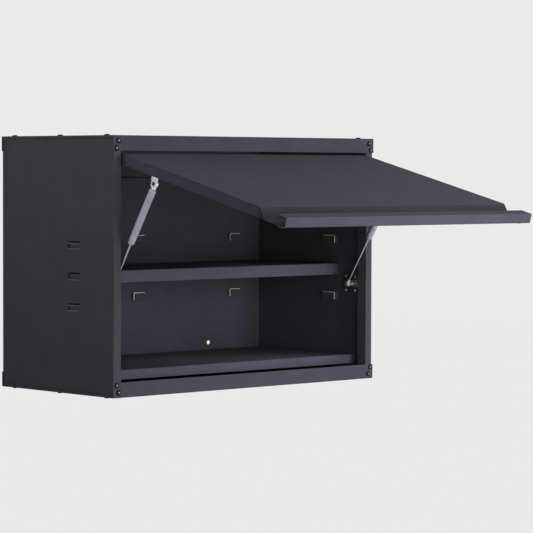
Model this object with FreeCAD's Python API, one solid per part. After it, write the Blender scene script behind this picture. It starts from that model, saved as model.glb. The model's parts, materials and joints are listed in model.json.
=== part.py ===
import FreeCAD, Part
import math
import os

# Steel wall cabinet with a lift-up door on two gas struts.
# Millimetres. X to the right, Y towards the wall, Z up.
# The origin is at the centre of the four wall holes, on the back of the back panel.

# Cabinet
cabinet_width = 711.0
cabinet_depth = 356.0
cabinet_height = 508.0
sheet = 1.0
bend_radius = 1.0
seat_gap = 0.3

# Top and bottom pans
rail_height = 30.0
pan_lip = 5.0
pan_overhang = 2.0

# Side panels
stile_width = 18.0
stile_return = 25.0

# Pressed shelf pockets
side_pocket_width = 40.4
back_pocket_width = 32.0
pocket_height = 17.4
pocket_reach = 7.0
pocket_draft = 1.2
pocket_pitch = 61.0
side_pocket_setback = 125.0
back_pocket_margin = 81.0

# Shelf and raised floor
shelf_drop = 266.3
shelf_setback = 100.0
shelf_lip = 24.0
shelf_flange = 12.0
lip_return = 9.0
floor_rise = 49.0
floor_setback = 48.0
floor_lip = 19.0

# Wall fixing
wall_hole_span = 406.4
wall_hole_inset = 64.0
wall_hole_radius = 4.5
hanger_height = 44.0
hanger_lip = 10.0
hanger_sheet = 1.5

# Screws
head_radius = 5.25
head_height = 2.6
corner_inner = (13.3, 10.6)
corner_outer = (8.4, 24.8)
cover_screw_inset = 12.0
cover_screw_setbacks = (34.0, 180.0, 328.0)

# Door
door_side_gap = 2.5
door_thickness = 20.5
door_top_gap = 2.8
door_overhang = 3.1
bevel_run = 19.4
pull_length = 55.7
pull_lip = 25.9
pull_lip_setback = 1.0
pull_depth_gap = 5.0
inner_flange = 8.0
inner_notch = (28.0, 12.0)
open_angle = 76.0

# Door pivot, seen on the closed door
pivot_forward = 13.0
pivot_drop = 51.3
pin_radius = 3.0
pin_head_radius = 4.5
pin_head_height = 1.2
running_clearance = 0.06
side_clearance = 0.3
arm_thickness = 1.5
arm_half_width = 7.0
arm_step_back = 21.5
bracket_half_height = 17.0
bracket_corner = 4.0

# Bumpers on the back of the pull
bumper_radius = 8.0
bumper_inset = 12.0
bumper_up = 21.2

# Gas struts
strut_inset = 30.0
upper_pivot_below_top = 103.4
upper_pivot_behind_face = 34.7
lower_pivot_setback = 46.0
lower_pivot_drop = 308.0
tube_radius = 8.0
tube_wall = 1.0
tube_start = 14.0
tube_end = 136.5
rod_radius = 2.75
rod_inside = 28.0
tube_mouth = 8.0
piston_length = 9.0
eye_radius = 6.5
eye_thickness = 5.4
eye_flat_depth = 1.2
eye_pin_radius = 3.0
eye_cap_radius = 4.4
eye_cap_thickness = 1.5
eye_tang_width = 8.0
upper_tab_width = 18.0
upper_tab_reach = 23.0
upper_tab_thickness = 2.0
upper_tab_foot = 20.0
upper_tab_corner = 4.5
lower_plate_size = (49.0, 42.0)
lower_plate_front = 10.0
lower_plate_thickness = 1.5
lower_plate_corner = 4.0
lower_plate_screw_inset = (7.5, 6.0)
lower_plate_screw_span = (28.0, 30.0)
lower_plate_flange = 6.0
stud_radius = 4.0
stud_nut_radius = 7.5
stud_nut_length = 3.5
bush_radius = 5.6
bush_length = 9.0
bush_clearance = 0.7
small_head_radius = 3.6
small_head_height = 1.8

# Planes worked out from the sizes above
half_width = cabinet_width / 2
top_z = cabinet_height / 2
bottom_z = -cabinet_height / 2
wall_y = sheet
front_y = wall_y - cabinet_depth
side_outer = half_width - pan_overhang
side_inner = side_outer - sheet
stile_edge = side_outer - stile_width
stile_front_y = front_y + sheet
back_front_y = wall_y - 2 * sheet
hanger_z = top_z - wall_hole_inset
shelf_z = top_z - shelf_drop
floor_z = bottom_z + floor_rise
row_z = [shelf_z - sheet - pocket_height / 2 + pocket_pitch * k for k in (1, 0, -1)]
side_pocket_y = front_y + side_pocket_setback
back_pocket_x = (-half_width + back_pocket_margin, 0.0, half_width - back_pocket_margin)
door_half = stile_edge - door_side_gap
door_face_y = front_y - pull_depth_gap - door_thickness
door_top_z = top_z - rail_height - door_top_gap
bevel_top_z = bottom_z - door_overhang + pull_length + bevel_run
pivot_y = front_y - pivot_forward
pivot_z = top_z - pivot_drop
strut_x = half_width - strut_inset
lower_pivot = (front_y + lower_pivot_setback, top_z - lower_pivot_drop)
upper_closed = (door_face_y + upper_pivot_behind_face, door_top_z - upper_pivot_below_top)


def turned(point, angle):
    """Turn a (y, z) point about the door pivot. A negative angle opens the door."""
    a = math.radians(angle)
    dy = point[0] - pivot_y
    dz = point[1] - pivot_z
    return (pivot_y + dy * math.cos(a) - dz * math.sin(a), pivot_z + dy * math.sin(a) + dz * math.cos(a))


upper_pivot = turned(upper_closed, -open_angle)
strut_open = math.dist(upper_pivot, lower_pivot)
strut_closed = math.dist(upper_closed, lower_pivot)


def box(x0, x1, y0, y1, z0, z1):
    corner = FreeCAD.Vector(min(x0, x1), min(y0, y1), min(z0, z1))
    return Part.makeBox(abs(x1 - x0), abs(y1 - y0), abs(z1 - z0), corner)


def rod_x(x0, x1, y, z, radius):
    """Round bar along X."""
    return Part.makeCylinder(radius, abs(x1 - x0), FreeCAD.Vector(min(x0, x1), y, z), FreeCAD.Vector(1, 0, 0))


def joined(shapes):
    result = shapes[0]
    for shape in shapes[1:]:
        result = result.fuse(shape)
    return result.removeSplitter()


def less(shape, tools):
    for tool in tools:
        shape = shape.cut(tool)
    return shape


def mirrored(shape):
    return shape.mirror(FreeCAD.Vector(0, 0, 0), FreeCAD.Vector(1, 0, 0))


def opened(shape):
    """Swing a piece of the closed door to the open position in which it is kept."""
    result = shape.copy()
    result.rotate(FreeCAD.Vector(0, pivot_y, pivot_z), FreeCAD.Vector(1, 0, 0), -open_angle)
    return result


def rounded_edges(shape, radius, wanted):
    """Fillet the edges for which wanted(edge) is true."""
    edges = [edge for edge in shape.Edges if wanted(edge)]
    return shape.makeFillet(radius, edges)


def round_corner(before, corner, after, radius):
    """Tangent points and middle point of an arc that rounds one corner of a (y, z) path."""
    b = FreeCAD.Vector(0, before[0] - corner[0], before[1] - corner[1]).normalize()
    a = FreeCAD.Vector(0, after[0] - corner[0], after[1] - corner[1]).normalize()
    half = b.getAngle(a) / 2
    c = FreeCAD.Vector(0, *corner)
    middle = (a + b).normalize()
    reach = radius / math.tan(half)
    centre = c + middle * (radius / math.sin(half))
    return c + b * reach, centre - middle * radius, c + a * reach


def offset_path(points, distance):
    """The (y, z) path moved sideways by a distance, with mitred corners."""
    moved = []
    for i, point in enumerate(points):
        normals = []
        for j in (i - 1, i):
            if 0 <= j < len(points) - 1:
                dy = points[j + 1][0] - points[j][0]
                dz = points[j + 1][1] - points[j][1]
                length = math.hypot(dy, dz)
                normals.append((-dz / length, dy / length))
        if len(normals) == 1:
            n = normals[0]
            moved.append((point[0] + n[0] * distance, point[1] + n[1] * distance))
        else:
            (ay, az), (by, bz) = normals
            scale = distance / (1 + ay * by + az * bz)
            moved.append((point[0] + (ay + by) * scale, point[1] + (az + bz) * scale))
    return moved


def bent_edges(points, x, radii):
    """Edges of an open path with each inner corner rounded."""
    edges = []
    start = FreeCAD.Vector(0, *points[0])
    shift = FreeCAD.Vector(x, 0, 0)
    for i in range(1, len(points) - 1):
        first, middle, last = round_corner(points[i - 1], points[i], points[i + 1], radii[i - 1])
        edges.append(Part.LineSegment(start + shift, first + shift).toShape())
        edges.append(Part.Arc(first + shift, middle + shift, last + shift).toShape())
        start = last
    edges.append(Part.LineSegment(start + shift, FreeCAD.Vector(0, *points[-1]) + shift).toShape())
    return edges


def bent_strip(points, thickness, x0, x1):
    """A sheet bent along a (y, z) path, with its thickness to the left of the path."""
    other = offset_path(points, thickness)
    near_radii = []
    far_radii = []
    for i in range(1, len(points) - 1):
        turn = ((points[i][0] - points[i - 1][0]) * (points[i + 1][1] - points[i][1])
                - (points[i][1] - points[i - 1][1]) * (points[i + 1][0] - points[i][0]))
        left_turn = turn > 0
        near_radii.append(bend_radius + thickness if left_turn else bend_radius)
        far_radii.append(bend_radius if left_turn else bend_radius + thickness)
    edges = bent_edges(points, x0, near_radii)
    ends = [Part.LineSegment(FreeCAD.Vector(x0, *a), FreeCAD.Vector(x0, *b)).toShape()
            for a, b in ((points[-1], other[-1]), (other[0], points[0]))]
    back = bent_edges(other, x0, far_radii)
    wire = Part.Wire(Part.__sortEdges__(edges + back + ends))
    return Part.Face(wire).extrude(FreeCAD.Vector(x1 - x0, 0, 0))


def plate_yz(points, x0, x1):
    """A flat plate with a (y, z) outline, from x0 to x1."""
    outline = Part.makePolygon([FreeCAD.Vector(x0, y, z) for y, z in points + points[:1]])
    return Part.Face(outline).extrude(FreeCAD.Vector(x1 - x0, 0, 0))


def hexagon(radius, height):
    """Six-sided head or nut, standing on z = 0."""
    corners = [FreeCAD.Vector(radius * math.cos(math.radians(60 * k)), radius * math.sin(math.radians(60 * k)), 0)
               for k in range(7)]
    return Part.Face(Part.makePolygon(corners)).extrude(FreeCAD.Vector(0, 0, height))


def placed(shape, direction, position):
    """Turn a piece that was made along +Z to a direction, and move it."""
    result = shape.copy()
    turn = FreeCAD.Rotation(FreeCAD.Vector(0, 0, 1), FreeCAD.Vector(*direction))
    result.Placement = FreeCAD.Placement(FreeCAD.Vector(*position), turn)
    return result


# Screw positions

def corner_screw_places():
    places = []
    for side in (-1, 1):
        for inset, drop in (corner_inner, corner_outer):
            places.append((side * (half_width - inset), top_z - drop))
            places.append((side * (half_width - inset), bottom_z + drop))
    return places


def cover_screw_places():
    return [(side * (half_width - cover_screw_inset), front_y + setback)
            for side in (-1, 1) for setback in cover_screw_setbacks]


def wall_hole_places():
    return [(side * wall_hole_span / 2, z) for side in (-1, 1) for z in (-hanger_z, hanger_z)]


# Pans, sides and back

def top_pan():
    """Shallow tray turned over, with deep flanges at front and back and low lips at the sides."""
    outer = box(-half_width, half_width, front_y, wall_y, top_z - rail_height, top_z)
    outer = rounded_edges(outer, bend_radius + sheet, lambda e: abs(e.CenterOfMass.z - top_z) < 0.01)
    inner = box(-half_width + sheet, half_width - sheet, front_y + sheet, wall_y - sheet,
                top_z - rail_height - sheet, top_z - sheet)
    inner = rounded_edges(inner, bend_radius, lambda e: abs(e.CenterOfMass.z - top_z + sheet) < 0.01)
    pan = outer.cut(inner)
    for side in (-1, 1):
        pan = pan.cut(box(side * (half_width + sheet), side * (half_width - sheet - bend_radius),
                          front_y + sheet + bend_radius, wall_y - sheet - bend_radius,
                          top_z - pan_lip, top_z - rail_height - sheet))
    return pan


def bottom_pan():
    return top_pan().mirror(FreeCAD.Vector(0, 0, 0), FreeCAD.Vector(0, 0, 1))


def pocket_outline(width, inset, depth):
    """Outline of a pocket at a depth into it. The ends and the underside slope, and the top is level."""
    draft = pocket_draft * depth / pocket_reach
    half = width / 2 - inset - draft
    high = pocket_height / 2 - inset
    low = -pocket_height / 2 + inset + draft
    points = [(half, high), (-half, high), (-half, low), (half, low)]
    return Part.makePolygon([FreeCAD.Vector(depth, y, z) for y, z in points + points[:1]])


def pocket_block(width, inset, start, end):
    outlines = [pocket_outline(width, inset, depth) for depth in (start, end)]
    return Part.makeLoft(outlines, True, True)


def with_pockets(panel, width, angle, places):
    """Press pockets into a panel. They open at each place and reach along +X turned by the angle."""
    bulge = pocket_block(width, 0, 0, pocket_reach + sheet)
    cavity = pocket_block(width, sheet, -sheet, pocket_reach)
    for block in (bulge, cavity):
        block.rotate(FreeCAD.Vector(0, 0, 0), FreeCAD.Vector(0, 0, 1), angle)
    panel = joined([panel] + [bulge.translated(FreeCAD.Vector(*place)) for place in places])
    return less(panel, [cavity.translated(FreeCAD.Vector(*place)) for place in places])


def side_left():
    """Side panel with flanges all round, and a return behind the front flange that stiffens the stile."""
    outer = box(-side_outer, -stile_edge, stile_front_y, back_front_y, bottom_z + sheet, top_z - sheet)
    outer = rounded_edges(outer, bend_radius + sheet, lambda e: abs(e.CenterOfMass.x + side_outer) < 0.01)
    inner = box(-side_inner, -stile_edge + sheet, stile_front_y + sheet, back_front_y - sheet,
                bottom_z + 2 * sheet, top_z - 2 * sheet)
    panel = outer.cut(inner)
    stile_foot = bottom_z + rail_height / 2
    return_flange = box(-stile_edge - sheet, -stile_edge, stile_front_y, stile_front_y + stile_return,
                        stile_foot, -stile_foot)
    panel = panel.fuse(return_flange).removeSplitter()
    places = [(-side_outer, side_pocket_y, z) for z in row_z]
    return with_pockets(panel, side_pocket_width, 0, places)


def back_panel():
    """Flat back with three rows of pockets, held between the side flanges and the pan flanges."""
    reach = sheet + bend_radius
    panel = box(-side_outer, side_outer, back_front_y, back_front_y + sheet, bottom_z + reach, top_z - reach)
    places = [(x, back_front_y + sheet, z) for x in back_pocket_x for z in row_z]
    return less(with_pockets(panel, back_pocket_width, -90, places), wall_holes())


def wall_holes():
    return [Part.makeCylinder(wall_hole_radius, 8 * sheet, FreeCAD.Vector(x, -7 * sheet, z), FreeCAD.Vector(0, 1, 0))
            for x, z in wall_hole_places()]


def hanging_rail():
    """Channel across the back that spreads the load of the two upper wall screws."""
    y = back_front_y
    low = hanger_z - hanger_height / 2
    high = hanger_z + hanger_height / 2
    path = [(y - hanger_lip, high), (y, high), (y, low), (y - hanger_lip, low)]
    end = stile_edge - sheet - seat_gap
    return less(bent_strip(path[::-1], hanger_sheet, -end, end), wall_holes())


def raised_floor():
    """Upper floor, set above the bottom pan on deep side flanges, with a short lip at the front."""
    end = side_inner - seat_gap
    y0 = front_y + floor_setback
    y1 = back_front_y - sheet - seat_gap
    foot = bottom_z + 2 * sheet
    outer = box(-end, end, y0, y1, foot, floor_z)
    outer = rounded_edges(outer, bend_radius + sheet, lambda e: abs(e.CenterOfMass.z - floor_z) < 0.01)
    inner = box(-end + sheet, end - sheet, y0 + sheet, y1 - sheet, foot - sheet, floor_z - sheet)
    inner = rounded_edges(inner, bend_radius, lambda e: abs(e.CenterOfMass.z - floor_z + sheet) < 0.01)
    tray = outer.cut(inner)
    notch = sheet + bend_radius
    open_front = box(-end - sheet, end + sheet, y0 - sheet, y0 + notch, foot - sheet, floor_z - floor_lip)
    open_back = box(-end + notch, end - notch, y1 - notch, y1 + sheet, foot - sheet, floor_z - floor_lip)
    hem = box(-end + notch, end - notch, y0, y0 + lip_return, floor_z - floor_lip, floor_z - floor_lip + sheet)
    return less(tray, [open_front, open_back]).fuse(hem).removeSplitter()


def shelf():
    """Loose shelf that sits on the middle row of pockets, with notches in its flanges around them."""
    end = side_inner - 2 * seat_gap
    y0 = front_y + shelf_setback
    y1 = back_front_y - sheet - seat_gap
    outer = box(-end, end, y0, y1, shelf_z - shelf_lip, shelf_z)
    outer = rounded_edges(outer, bend_radius + sheet, lambda e: abs(e.CenterOfMass.z - shelf_z) < 0.01)
    inner = box(-end + sheet, end - sheet, y0 + sheet, y1 - sheet, shelf_z - shelf_lip - sheet, shelf_z - sheet)
    inner = rounded_edges(inner, bend_radius, lambda e: abs(e.CenterOfMass.z - shelf_z + sheet) < 0.01)
    tray = outer.cut(inner)
    notch = sheet + bend_radius
    low = box(-end - sheet, end + sheet, y0 + notch, y1 + sheet, shelf_z - shelf_lip - sheet, shelf_z - shelf_flange)
    hem = box(-end + notch, end - notch, y0, y0 + lip_return, shelf_z - shelf_lip, shelf_z - shelf_lip + sheet)
    side_half = side_pocket_width / 2 + 2 * seat_gap
    back_half = back_pocket_width / 2 + 2 * seat_gap
    deep = pocket_reach + 2 * seat_gap
    under = shelf_z - sheet
    notches = [box(side * (end + sheet), side * (side_inner - deep), side_pocket_y - side_half,
                   side_pocket_y + side_half, under, under - shelf_lip) for side in (-1, 1)]
    notches += [box(x - back_half, x + back_half, back_front_y - deep, wall_y, under, under - shelf_lip)
                for x in back_pocket_x]
    return less(tray.cut(low).fuse(hem).removeSplitter(), notches)


# Door hinges

def arm_planes():
    """Outer and inner X of the hinge arm, on the right-hand side."""
    outer = door_half - sheet - side_clearance
    return outer, outer - arm_thickness


def hinge_bracket():
    """Foot on the stile's return, stepped inwards to an arm that reaches forward into the door."""
    outer, inner = arm_planes()
    step_y = pivot_y + arm_step_back
    rear_y = stile_front_y + stile_return - 2 * sheet
    low = pivot_z - bracket_half_height
    high = pivot_z + bracket_half_height
    c = bracket_corner
    foot = plate_yz([(step_y, low + c), (step_y + c, low), (rear_y, low), (rear_y, high), (step_y + c, high),
                     (step_y, high - c)], stile_edge - arm_thickness, stile_edge)
    step = box(stile_edge, inner, step_y, step_y + arm_thickness, pivot_z - arm_half_width, pivot_z + arm_half_width)
    arm = box(outer, inner, pivot_y, step_y + arm_thickness, pivot_z - arm_half_width, pivot_z + arm_half_width)
    end = rod_x(outer, inner, pivot_y, pivot_z, arm_half_width)
    hole = rod_x(outer + sheet, inner - sheet, pivot_y, pivot_z, pin_radius)
    return joined([foot, step, arm, end]).cut(hole)


def hinge_pin():
    """Rivet with its head outside the door's flange and its body through the flange and the arm."""
    head_in = door_half + side_clearance
    head = rod_x(head_in, head_in + pin_head_height, pivot_y, pivot_z, pin_head_radius)
    body = rod_x(arm_planes()[1], head_in, pivot_y, pivot_z, pin_radius)
    return joined([head, body])


# Door, modelled closed and then swung open

def door_path():
    """Outer line of the bent door sheet: top flange, face, bevel, and the J-shaped pull."""
    face = door_face_y
    plate = face + door_thickness - sheet
    bevel_end = bevel_top_z - bevel_run
    pull_end = bevel_end - pull_length + sheet
    lip = face + pull_lip_setback + sheet
    return [(plate, door_top_z), (face, door_top_z), (face, bevel_top_z), (plate, bevel_end),
            (plate, pull_end), (lip, pull_end), (lip, pull_end + pull_lip)]


def door_skin():
    """One sheet: face, side flanges, bevel and the full-width finger pull at the free edge."""
    path = door_path()
    skin = bent_strip(path, sheet, -door_half, door_half)
    slit = 0.6
    back = door_face_y + door_thickness
    flange = [(door_face_y + sheet, door_top_z), (door_face_y + sheet, bevel_top_z + sheet / 2 + slit),
              (back, path[3][1] + sheet / 2 + slit), (back, door_top_z)]
    for side in (-1, 1):
        skin = skin.fuse(plate_yz(flange, side * door_half, side * (door_half - sheet)))
    skin = skin.removeSplitter()
    hole = rod_x(-door_half - sheet, door_half + sheet, pivot_y, pivot_z, pin_radius + running_clearance)
    notch_end = arm_planes()[1] - 2 * sheet
    notches = [box(side * (door_half - sheet), side * notch_end,
                   pivot_y - arm_half_width - sheet, back + sheet,
                   door_top_z + sheet, door_top_z - 2 * bend_radius - sheet) for side in (-1, 1)]
    return less(skin, [hole] + notches)


def door_inner_panel():
    """Shallow tray that closes the back of the door, notched at its top corners for the hinge arms."""
    back = door_face_y + door_thickness
    end = door_half - sheet - seat_gap
    high = door_top_z - sheet - seat_gap
    low = door_path()[3][1] + 2.5 * sheet + seat_gap
    outer = box(-end, end, back - inner_flange, back, low, high)
    outer = rounded_edges(outer, bend_radius + sheet, lambda e: abs(e.CenterOfMass.y - back) < 0.01)
    inner = box(-end + sheet, end - sheet, back - inner_flange - sheet, back - sheet, low + sheet, high - sheet)
    inner = rounded_edges(inner, bend_radius, lambda e: abs(e.CenterOfMass.y - back + sheet) < 0.01)
    tall, wide = inner_notch
    notches = [box(side * (end + sheet), side * (end - wide), back + sheet, back - inner_flange - sheet,
                   high + sheet, high - tall) for side in (-1, 1)]
    slope = box(-end - sheet, end + sheet, back - inner_flange - sheet, back - sheet, low - sheet,
                low + inner_flange + sheet)
    return less(outer.cut(inner), notches + [slope])


def bumper_places():
    z = door_path()[4][1] - sheet + bumper_up
    return [(side * (door_half - bumper_inset), z) for side in (-1, 1)]


def door_bumpers():
    """Rubber buttons that meet the bottom rail when the door is shut."""
    y = door_face_y + door_thickness
    height = pull_depth_gap - seat_gap
    return [Part.makeCylinder(bumper_radius, height, FreeCAD.Vector(x, y, z), FreeCAD.Vector(0, 1, 0))
            for x, z in bumper_places()]


# Gas struts, right-hand side

def upper_tab_planes():
    outer = strut_x + eye_thickness / 2 + seat_gap + upper_tab_thickness
    return outer, outer - upper_tab_thickness


def upper_tab():
    """Angle bracket on the back of the door, with the stud that carries the strut's upper eye."""
    outer, inner = upper_tab_planes()
    y, z = upper_closed
    back = door_face_y + door_thickness
    front = back + upper_tab_reach
    high = z + upper_tab_width / 2
    low = z - upper_tab_width / 2
    c = upper_tab_corner
    plate = plate_yz([(back, low), (front - c, low), (front, low + c), (front, high - c), (front - c, high),
                      (back, high)], inner, outer)
    foot = box(outer, outer - upper_tab_foot, back, back + upper_tab_thickness, low, high)
    far = strut_x - eye_thickness / 2 - side_clearance
    stud = rod_x(outer, far, y, z, eye_pin_radius)
    cap = rod_x(far, far - eye_cap_thickness, y, z, eye_cap_radius)
    return joined([plate, foot, stud, cap])


def along_strut(shape):
    """Place a right-hand strut piece that was made along +Z from the upper pivot."""
    run_y = lower_pivot[0] - upper_pivot[0]
    run_z = lower_pivot[1] - upper_pivot[1]
    result = shape.copy()
    angle = math.degrees(math.atan2(-run_y, run_z))
    result.rotate(FreeCAD.Vector(0, 0, 0), FreeCAD.Vector(1, 0, 0), angle)
    result.translate(FreeCAD.Vector(strut_x, upper_pivot[0], upper_pivot[1]))
    return result


def bar_z(radius, z0, z1):
    return Part.makeCylinder(radius, z1 - z0, FreeCAD.Vector(0, 0, z0))


def eye_bar(radius, z, extra=0.0):
    """Round bar along X through the middle of an eye. Extra makes it stand out on both sides."""
    half = eye_thickness / 2 + extra
    return rod_x(-half, half, 0, z, radius)


def eye_flat(z):
    """Where the rim of an eye, seen towards the strut's end, is cut flat for the rod."""
    return z - eye_radius + eye_flat_depth


def strut_tube():
    """Pressure tube: drawn in at the closed end, and closed by a guide for the rod at the other."""
    r = tube_radius
    profile = [(0, tube_start), (r - 2, tube_start), (r, tube_start + 2), (r, tube_end),
               (rod_radius + running_clearance, tube_end),
               (rod_radius + running_clearance, tube_end - tube_mouth), (r - tube_wall, tube_end - tube_mouth),
               (r - tube_wall, tube_start + 2), (0, tube_start + 2)]
    outline = Part.makePolygon([FreeCAD.Vector(x, 0, z) for x, z in profile + profile[:1]])
    turned_body = Part.Face(outline).revolve(FreeCAD.Vector(0, 0, 0), FreeCAD.Vector(0, 0, 1), 360)
    return along_strut(turned_body)


def tube_eye():
    """Upper end fitting: an eye on a flat tang, seated on the closed end of the tube."""
    half = eye_thickness / 2
    tang = box(-half, half, -eye_tang_width / 2, eye_tang_width / 2, 0, tube_start)
    fitting = joined([eye_bar(eye_radius, 0), tang])
    return along_strut(fitting.cut(eye_bar(eye_pin_radius + running_clearance, 0, sheet)))


def piston_rod():
    """Polished rod with its piston, from inside the tube down to the lower eye."""
    start = tube_end - rod_inside
    rod = bar_z(rod_radius, start, eye_flat(strut_open))
    piston = bar_z(tube_radius - tube_wall - running_clearance, start - piston_length, start)
    return along_strut(joined([rod, piston]))


def rod_eye():
    """Lower end fitting: an eye seated on the end of the rod, closed by the head of its pin."""
    half = eye_thickness / 2
    ring = eye_bar(eye_radius, strut_open)
    flat = box(-half - sheet, half + sheet, -eye_radius, eye_radius, eye_flat(strut_open) - eye_radius,
               eye_flat(strut_open))
    head = rod_x(-half - eye_cap_thickness, -half, 0, strut_open, eye_cap_radius)
    return along_strut(joined([ring.cut(flat), head]))


def lower_plate_screw_places():
    back_y = lower_pivot[0] - lower_plate_front + lower_plate_size[0] - lower_plate_screw_inset[0]
    span_y, span_z = lower_plate_screw_span
    return [(back_y - dy * span_y, lower_pivot[1] + (dz - 0.5) * span_z) for dy in (0, 1) for dz in (0, 1)]


def wall_plate():
    """Plate screwed to the inside of the side panel, with a stiffening flange along its front edge."""
    long, tall = lower_plate_size
    front = lower_pivot[0] - lower_plate_front
    rear = front + long
    low = lower_pivot[1] - tall / 2
    high = low + tall
    c = lower_plate_corner
    outline = [(front + c, low), (rear - c, low), (rear, low + c), (rear, high - c), (rear - c, high),
               (front + c, high), (front, high - c), (front, low + c)]
    inner = side_inner - lower_plate_thickness
    plate = plate_yz(outline, inner, side_inner)
    flange = box(inner, inner - lower_plate_flange, front, front + lower_plate_thickness, low + c, high - c)
    return joined([plate, flange])


def bush_planes():
    """Inner and outer X of the brass bush, which ends beside the rod's eye."""
    inner = strut_x + eye_thickness / 2 + bush_clearance
    return inner, inner + bush_length


def wall_stud():
    """Stud that stands off the wall plate, with a nut at its foot, and carries the bush."""
    start = side_inner - lower_plate_thickness
    body = rod_x(start, bush_planes()[1], *lower_pivot, stud_radius)
    nut = placed(hexagon(stud_nut_radius, stud_nut_length), (-1, 0, 0), (start, *lower_pivot))
    return joined([body, nut])


def stud_bush():
    """Brass bush on the end of the stud, where the rod's eye turns."""
    inner, outer = bush_planes()
    return rod_x(inner, outer, *lower_pivot, bush_radius)


def wall_plate_screws():
    """Hexagon heads on the wall plate."""
    head = hexagon(small_head_radius, small_head_height)
    x = side_inner - lower_plate_thickness
    return [placed(head, (-1, 0, 0), (x, y, z)) for y, z in lower_plate_screw_places()]


# Screws

def screw_head():
    return Part.makeCylinder(head_radius, head_height)


def corner_screws():
    return [placed(screw_head(), (0, -1, 0), (x, front_y, z)) for x, z in corner_screw_places()]


def top_screws():
    return [placed(screw_head(), (0, 0, 1), (x, y, top_z)) for x, y in cover_screw_places()]


def bottom_screws():
    return [placed(screw_head(), (0, 0, -1), (x, y, bottom_z)) for x, y in cover_screw_places()]


def save(name, shape):
    solids = shape if isinstance(shape, list) else [shape]
    body = solids[0] if len(solids) == 1 else Part.makeCompound(solids)
    body.exportStep("parts/" + name + ".step")
    facets = sum(len(solid.tessellate(0.2)[1]) for solid in solids)
    print(name, "valid" if body.isValid() else "NOT VALID", len(body.Solids), "solids", facets, "facets")
    return facets


def save_pair(name, shape):
    """Save a right-hand piece and its mirror image."""
    solids = shape if isinstance(shape, list) else [shape]
    total = save(name + "_right", solids)
    return total + save(name + "_left", [mirrored(solid) for solid in solids])


def build():
    os.makedirs("parts", exist_ok=True)
    total = 0
    total += save("top_pan", top_pan())
    total += save("bottom_pan", bottom_pan())
    left = side_left()
    total += save("side_panel_left", left)
    total += save("side_panel_right", mirrored(left))
    total += save("back_panel", back_panel())
    total += save("hanging_rail", hanging_rail())
    total += save("raised_floor", raised_floor())
    total += save("shelf", shelf())
    total += save("corner_screws", corner_screws())
    total += save("top_screws", top_screws())
    total += save("bottom_screws", bottom_screws())
    total += save_pair("hinge_bracket", hinge_bracket())
    total += save_pair("hinge_pin", hinge_pin())
    total += save("door_skin", opened(door_skin()))
    total += save("door_inner_panel", opened(door_inner_panel()))
    total += save("door_bumpers", [opened(bumper) for bumper in door_bumpers()])
    total += save_pair("strut_tab", opened(upper_tab()))
    total += save_pair("strut_tube", strut_tube())
    total += save_pair("strut_tube_eye", tube_eye())
    total += save_pair("piston_rod", piston_rod())
    total += save_pair("rod_eye", rod_eye())
    total += save_pair("wall_plate", wall_plate())
    total += save_pair("wall_stud", wall_stud())
    total += save_pair("stud_bush", stud_bush())
    total += save_pair("wall_plate_screws", wall_plate_screws())
    print("facets in all", total)
    print("upper pivot", upper_pivot, "lower pivot", lower_pivot)
    print("door pivot", (pivot_y, pivot_z), "strut open", strut_open, "closed", strut_closed)


build()
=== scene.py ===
import bpy
import json
import math
from mathutils import Matrix, Vector


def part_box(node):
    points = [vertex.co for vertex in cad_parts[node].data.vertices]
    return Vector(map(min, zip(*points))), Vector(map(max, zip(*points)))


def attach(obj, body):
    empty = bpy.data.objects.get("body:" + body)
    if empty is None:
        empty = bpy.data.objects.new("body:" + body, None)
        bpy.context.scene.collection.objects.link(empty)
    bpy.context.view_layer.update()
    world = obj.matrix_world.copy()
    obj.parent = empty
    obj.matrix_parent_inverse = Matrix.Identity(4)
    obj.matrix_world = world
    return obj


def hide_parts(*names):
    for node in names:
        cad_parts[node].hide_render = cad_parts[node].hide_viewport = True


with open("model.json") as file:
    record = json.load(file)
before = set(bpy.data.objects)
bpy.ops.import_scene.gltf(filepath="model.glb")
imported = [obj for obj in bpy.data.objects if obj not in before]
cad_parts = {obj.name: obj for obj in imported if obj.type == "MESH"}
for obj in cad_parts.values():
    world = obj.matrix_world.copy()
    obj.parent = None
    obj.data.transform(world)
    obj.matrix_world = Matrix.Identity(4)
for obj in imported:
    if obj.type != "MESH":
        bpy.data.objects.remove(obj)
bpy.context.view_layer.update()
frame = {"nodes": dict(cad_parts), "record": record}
nodes = frame["nodes"]
print("frame loaded:", len(nodes), "nodes")


# selecting and editing
def deselectAll():
    if bpy.context.object and bpy.context.object.mode != 'OBJECT':
        bpy.ops.object.mode_set(mode='OBJECT')
    bpy.ops.object.select_all(action='DESELECT')


def makeActive(piece):
    deselectAll()
    piece.select_set(True)
    bpy.context.view_layer.objects.active = piece


def pickNone(kind):
    # an empty selection in edge or point mode, left in object mode for picking
    bpy.ops.object.mode_set(mode='EDIT')
    bpy.ops.mesh.select_mode(type=kind)
    bpy.ops.mesh.select_all(action='DESELECT')
    bpy.ops.object.mode_set(mode='OBJECT')


def pickEdges(piece, test):
    # test has the places of the edge's two ends, in metres
    pickNone('EDGE')
    points = piece.data.vertices
    for edge in piece.data.edges:
        edge.select = test(points[edge.vertices[0]].co, points[edge.vertices[1]].co)
    bpy.ops.object.mode_set(mode='EDIT')


def slidePoints(piece, move, test):
    makeActive(piece)
    pickNone('VERT')
    for point in piece.data.vertices:
        point.select = test(point.co)
    bpy.ops.object.mode_set(mode='EDIT')
    bpy.ops.transform.translate(value=move)
    bpy.ops.object.mode_set(mode='OBJECT')


def outwards():
    # in edit mode: every face of the piece turned to point outwards
    bpy.ops.mesh.select_all(action='SELECT')
    bpy.ops.mesh.normals_make_consistent(inside=False)


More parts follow.
